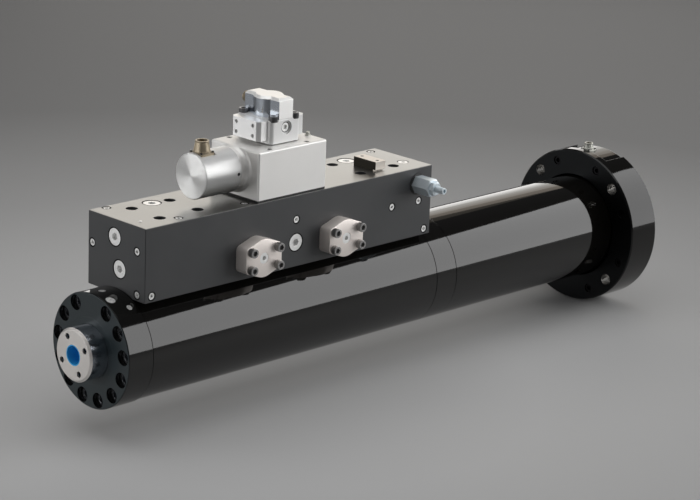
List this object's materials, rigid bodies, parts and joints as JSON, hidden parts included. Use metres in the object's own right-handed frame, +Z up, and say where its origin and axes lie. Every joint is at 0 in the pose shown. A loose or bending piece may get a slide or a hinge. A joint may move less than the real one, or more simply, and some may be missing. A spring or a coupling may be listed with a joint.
{
  "type": "electrohydraulic servo actuator",
  "caption": "Flange-mounted double-ended hydraulic cylinder with a side-by-side manifold and a three-stage servovalve, bare rod end with tapped holes.",
  "frame": {"origin": "centre of the rear flange's mounting face, on the cylinder axis", "axes": "+X out of the flange's mounting face along the cylinder axis, the rod end is at -X; -Y is the side with the port covers; +Z up through the manifold and servovalve"},
  "size_m": [1.285, 0.292, 0.518],
  "materials": {
    "black_finish": "glossy black oxide and lacquer",
    "black_manifold": "satin black anodised, ground top",
    "black_steel": "black oxide screws",
    "steel": "turned and ground steel",
    "chrome": "hard chromed",
    "plug_steel": "bright plated steel",
    "cover_steel": "plated steel",
    "zinc": "blue zinc plated steel",
    "valve_aluminium": "machined aluminium",
    "connector_shell": "olive-brown plated connector shell",
    "bronze": "bearing bronze",
    "seal_rubber": "seal rubber",
    "band_plastic": "filled guide band",
    "blue_plastic": "blue thread protector",
    "coil_wire": "enamelled copper windings",
    "tube_steel": "honed tube"
  },
  "bodies": {
    "cylinder": {"bracket_block": "steel", "bracket_screws": "black_steel", "connector_screws": "black_steel", "cover_screws": "black_steel", "cylinder_tube": "black_finish", "end_cap_screws": "black_steel", "extension_tube": "black_finish", "flange_screws": "black_steel", "front_head": "black_finish", "front_port_cover": "cover_steel", "head_plugs": "plug_steel", "head_screws": "black_steel", "manifold": "black_manifold", "manifold_bolts": "black_steel", "manifold_plugs": "plug_steel", "motor_coils": "coil_wire", "motor_cover": "chrome", "pilot_body": "valve_aluminium", "pilot_cap_screws": "black_steel", "pilot_connector": "connector_shell", "pilot_front_cap": "valve_aluminium", "pilot_plug": "plug_steel", "pilot_rear_cap": "valve_aluminium", "pilot_screws": "black_steel", "port_cover_plugs": "plug_steel", "port_cover_screws": "black_steel", "rear_cover": "black_finish", "rear_flange": "black_finish", "rear_head": "black_finish", "rear_port_cover": "cover_steel", "relief_body": "zinc", "relief_locknut": "zinc", "relief_spring": "steel", "rod_bearings": "bronze", "rod_seals": "seal_rubber", "rod_wiper": "seal_rubber", "seal_plates": "seal_rubber", "sensor_coil": "coil_wire", "sensor_connector": "connector_shell", "sensor_cover": "valve_aluminium", "sensor_set_screw": "black_steel", "servo_body": "valve_aluminium", "spool_end_cap": "valve_aluminium", "spool_sleeve": "steel", "transducer": "steel", "transducer_connector": "connector_shell", "valve_screws": "black_steel"},
    "rod": {"piston_rod": "chrome", "thread_protector": "blue_plastic", "piston": "steel", "piston_bands": "band_plastic", "piston_seal": "seal_rubber", "transducer_magnet": "tube_steel"},
    "main_stage_spool": {"main_spool": "steel", "sensor_core": "steel"},
    "pilot_stage_spool": {"pilot_spool": "steel"},
    "armature": {"armature": "steel"},
    "relief_poppet": {"relief_poppet": "steel"},
    "relief_adjuster": {"relief_adjuster": "zinc"}
  },
  "joints": [
    {"name": "rod_stroke", "type": "slide", "parent": "cylinder", "child": "rod", "axis": [-1, 0, 0], "range_m": [0, 0.35]},
    {"name": "main_spool_slide", "type": "slide", "parent": "cylinder", "child": "main_stage_spool", "axis": [1, 0, 0], "range_m": [-0.006, 0.006]},
    {"name": "pilot_spool_slide", "type": "slide", "parent": "cylinder", "child": "pilot_stage_spool", "axis": [1, 0, 0], "range_m": [-0.0005, 0.0005]},
    {"name": "armature_tilt", "type": "hinge", "parent": "cylinder", "child": "armature", "pos_m": [-0.8775, -0.005, 0.337], "axis": [0, 1, 0], "range_deg": [-1, 1], "stiffness_Nm_per_rad": 0.2},
    {"name": "relief_lift", "type": "slide", "parent": "cylinder", "child": "relief_poppet", "axis": [0, -1, 0], "range_m": [0, 0.002], "stiffness_N_per_m": 5000, "springref_m": -0.002, "deforming": ["relief_spring"]},
    {"name": "relief_setting", "type": "hinge", "parent": "cylinder", "child": "relief_adjuster", "pos_m": [-0.58, -0.11, 0.1815], "axis": [0, 1, 0], "range_deg": [-360, 360]}
  ]
}
